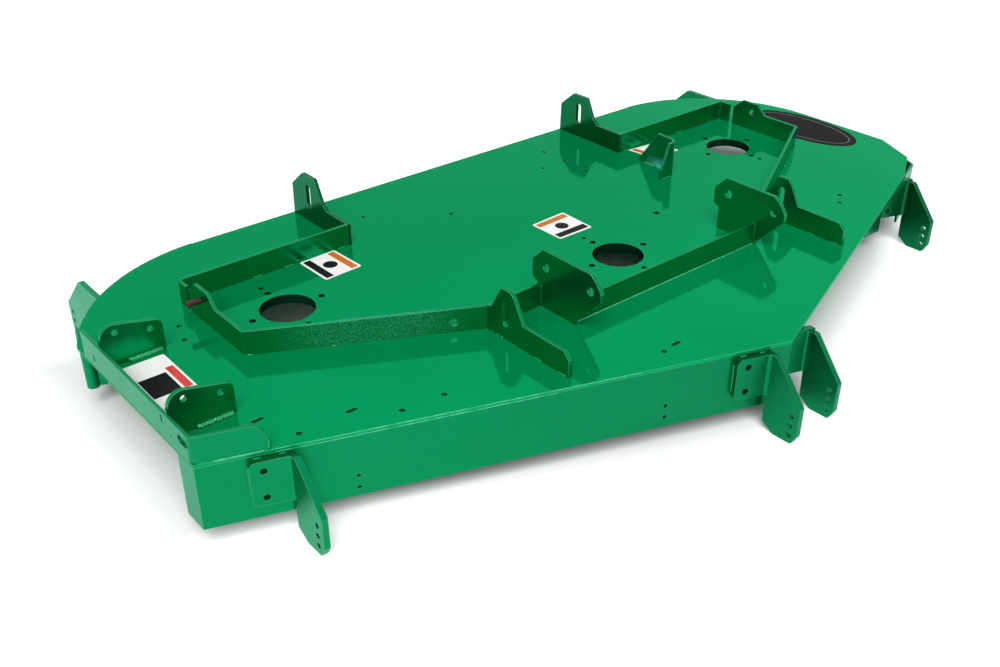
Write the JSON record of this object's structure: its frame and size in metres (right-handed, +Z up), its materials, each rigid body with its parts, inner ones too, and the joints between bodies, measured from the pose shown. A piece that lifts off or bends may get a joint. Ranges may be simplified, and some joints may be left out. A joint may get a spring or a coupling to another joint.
{
  "type": "mower deck shell",
  "caption": "Fabricated mower deck shell with spindle bores, lift hangers, roller brackets, stiffening ribs and a side discharge opening.",
  "frame": {"origin": "axis of the centre spindle bore at the top face of the deck plate", "axes": "+Z up along the spindle axes, +Y to the rear of the machine, +X to the left of the machine, away from the discharge side"},
  "size_m": [1.577, 0.9618, 0.231],
  "materials": {
    "green_paint": "gloss",
    "pin_steel": "satin"
  },
  "bodies": {
    "root": {"deck_plate": "green_paint", "front_skirt": "green_paint", "rear_skirt": "green_paint", "right_band": "green_paint", "left_band": "green_paint", "front_baffle": "green_paint", "discharge_rail": "green_paint", "chute_ear_rear": "green_paint", "chute_ear_front": "green_paint", "rear_right_hanger": "green_paint", "rear_left_hanger": "green_paint", "front_right_hanger": "green_paint", "front_left_hanger": "green_paint", "right_arm_plate": "green_paint", "left_arm_plate": "green_paint", "right_rear_rib": "green_paint", "left_rear_rib": "green_paint", "right_side_rib": "green_paint", "left_side_rib": "green_paint", "right_link_rib": "green_paint", "left_link_rib": "green_paint", "cross_rib": "green_paint", "roller_bracket_front_right": "green_paint", "roller_bracket_centre_right": "green_paint", "roller_bracket_centre_left": "green_paint", "roller_bracket_front_left": "green_paint", "roller_bracket_rear_right": "green_paint", "roller_bracket_rear_left": "green_paint", "bent_tab": "green_paint", "rib_pin": "pin_steel"}
  },
  "joints": []
}
